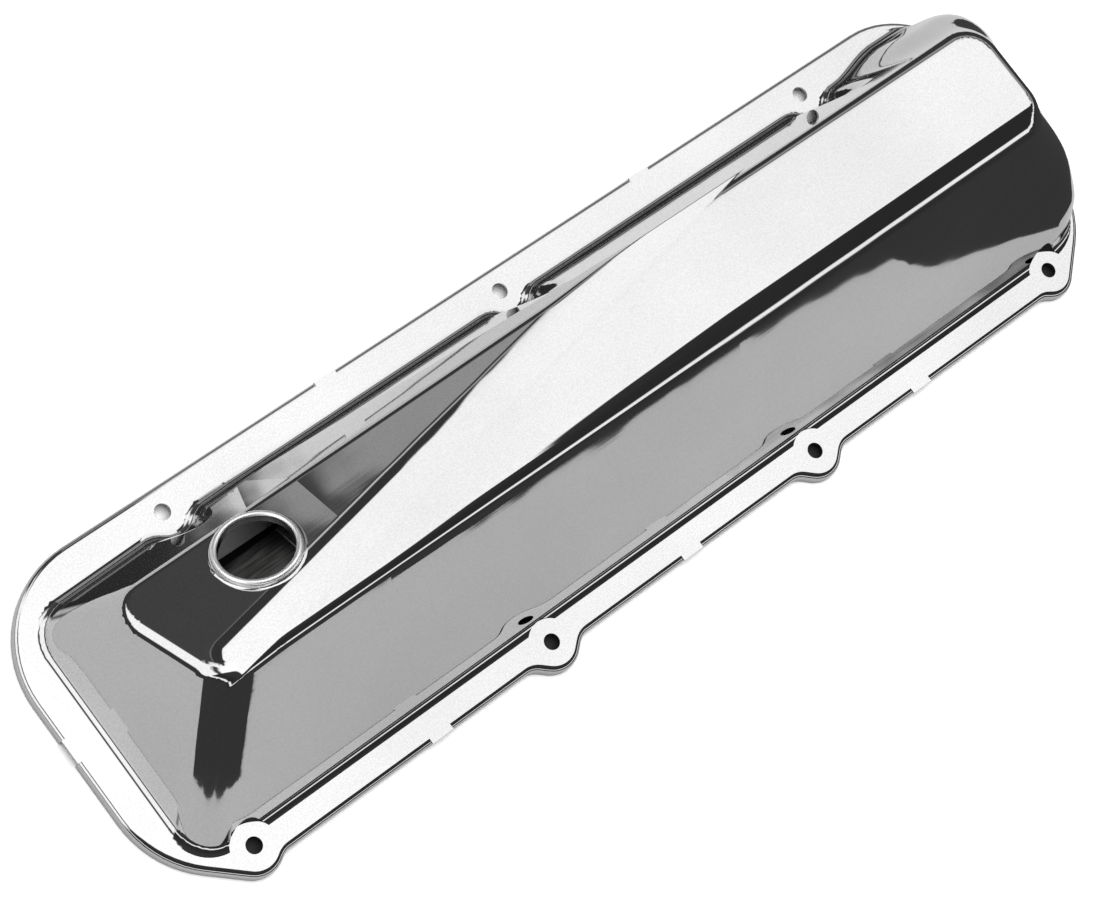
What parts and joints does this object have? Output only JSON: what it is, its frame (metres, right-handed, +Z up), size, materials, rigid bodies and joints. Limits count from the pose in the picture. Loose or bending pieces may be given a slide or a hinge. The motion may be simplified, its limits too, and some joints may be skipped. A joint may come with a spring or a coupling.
{
  "type": "engine valve cover",
  "caption": "Long pressed-steel engine valve cover with a flat bolt flange, turned-down lip, faceted raised body and a round filler hole, chromed",
  "frame": {"origin": "centre of the footprint, on the plane that the lip's lower edge stands on", "axes": "+X along the cover away from the filler end, +Y from the long sloping side to the steep side, +Z up"},
  "size_m": [0.545, 0.1578, 0.0806],
  "materials": {
    "chrome": "bright chrome plate on drawn steel",
    "baffle_steel": "plain folded steel with a thin flash of plating"
  },
  "bodies": {
    "root": {"valve_cover": "chrome", "oil_baffle": "baffle_steel"}
  },
  "joints": []
}
